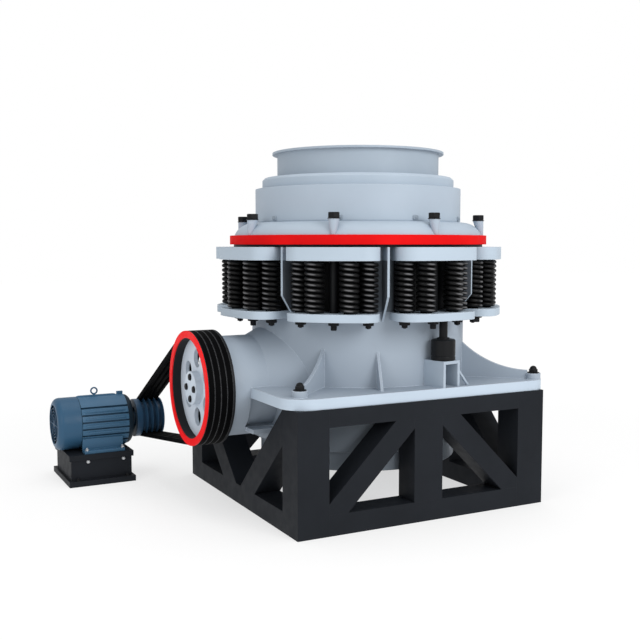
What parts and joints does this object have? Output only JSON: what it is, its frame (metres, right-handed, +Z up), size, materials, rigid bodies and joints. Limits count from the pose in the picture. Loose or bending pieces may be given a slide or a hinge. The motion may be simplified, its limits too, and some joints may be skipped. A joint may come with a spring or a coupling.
{
  "type": "spring cone crusher with drive motor",
  "caption": "Spring cone crusher on a braced steel stand, with feed hopper, ring of release springs, grooved sheave, V-belts and drive motor on a pedestal.",
  "frame": {"origin": "on the crusher's vertical axis at ground level, the middle of the foundation bolts", "axes": "+Z up; the countershaft runs along -X to the sheave; +Y towards the drive motor"},
  "size_m": [3.23, 2.761, 2.653],
  "materials": {
    "stand_steel": "satin charcoal paint",
    "frame_paint": "satin pale blue-grey paint",
    "red_paint": "semi-gloss red paint",
    "dark_steel": "satin black paint",
    "spring_steel": "semi-gloss black paint",
    "belt_rubber": "matt black rubber",
    "wear_steel": "bare cast manganese steel",
    "web_paint": "satin light grey paint",
    "motor_paint": "satin blue paint",
    "cover_paint": "satin lighter blue paint",
    "pulley_paint": "satin navy paint",
    "bright_steel": "bare machined steel"
  },
  "bodies": {
    "root": {"stand_corner_posts": "stand_steel", "stand_bottom_rails": "stand_steel", "stand_top_rails": "stand_steel", "stand_centre_posts": "stand_steel", "stand_knee_braces": "stand_steel", "stand_v_braces": "stand_steel", "main_frame": "frame_paint", "anchor_nuts": "dark_steel", "upper_seat_plates": "frame_paint", "lower_seat_plates": "frame_paint", "release_springs": "spring_steel", "tie_rods": "dark_steel", "seat_bolts": "dark_steel", "gusset_plates": "frame_paint", "seal_ring": "dark_steel", "locking_ring": "red_paint", "dome": "frame_paint", "adjustment_cap": "frame_paint", "hopper_flange": "frame_paint", "feed_hopper": "frame_paint", "lifting_posts": "frame_paint", "post_caps": "dark_steel", "bowl_liner": "wear_steel", "cone_body": "wear_steel", "mantle": "wear_steel", "feed_plate": "wear_steel", "cylinder_support": "frame_paint", "release_cylinder": "dark_steel", "drive_belts": "belt_rubber", "motor_body": "motor_paint", "fan_cover": "cover_paint", "end_shield": "motor_paint", "lifting_eye": "bright_steel", "motor_pedestal": "stand_steel"},
    "sheave": {"sheave_rim": "dark_steel", "sheave_face_ring": "red_paint", "sheave_web": "web_paint", "sheave_hub": "web_paint", "hub_bolts": "dark_steel", "countershaft": "bright_steel"},
    "pulley": {"motor_pulley": "pulley_paint", "motor_shaft": "bright_steel"}
  },
  "joints": [
    {"name": "sheave_turn", "type": "hinge", "parent": "root", "child": "sheave", "pos_m": [-1.312, 0, 0.905], "axis": [1, 0, 0], "continuous": true},
    {"name": "pulley_turn", "type": "hinge", "parent": "root", "child": "pulley", "pos_m": [-1.335, 1.33, 0.467], "axis": [1, 0, 0], "continuous": true}
  ],
  "couplings": [
    {"joint": "pulley_turn", "follows": "sheave_turn", "ratio": 2.7862}
  ]
}
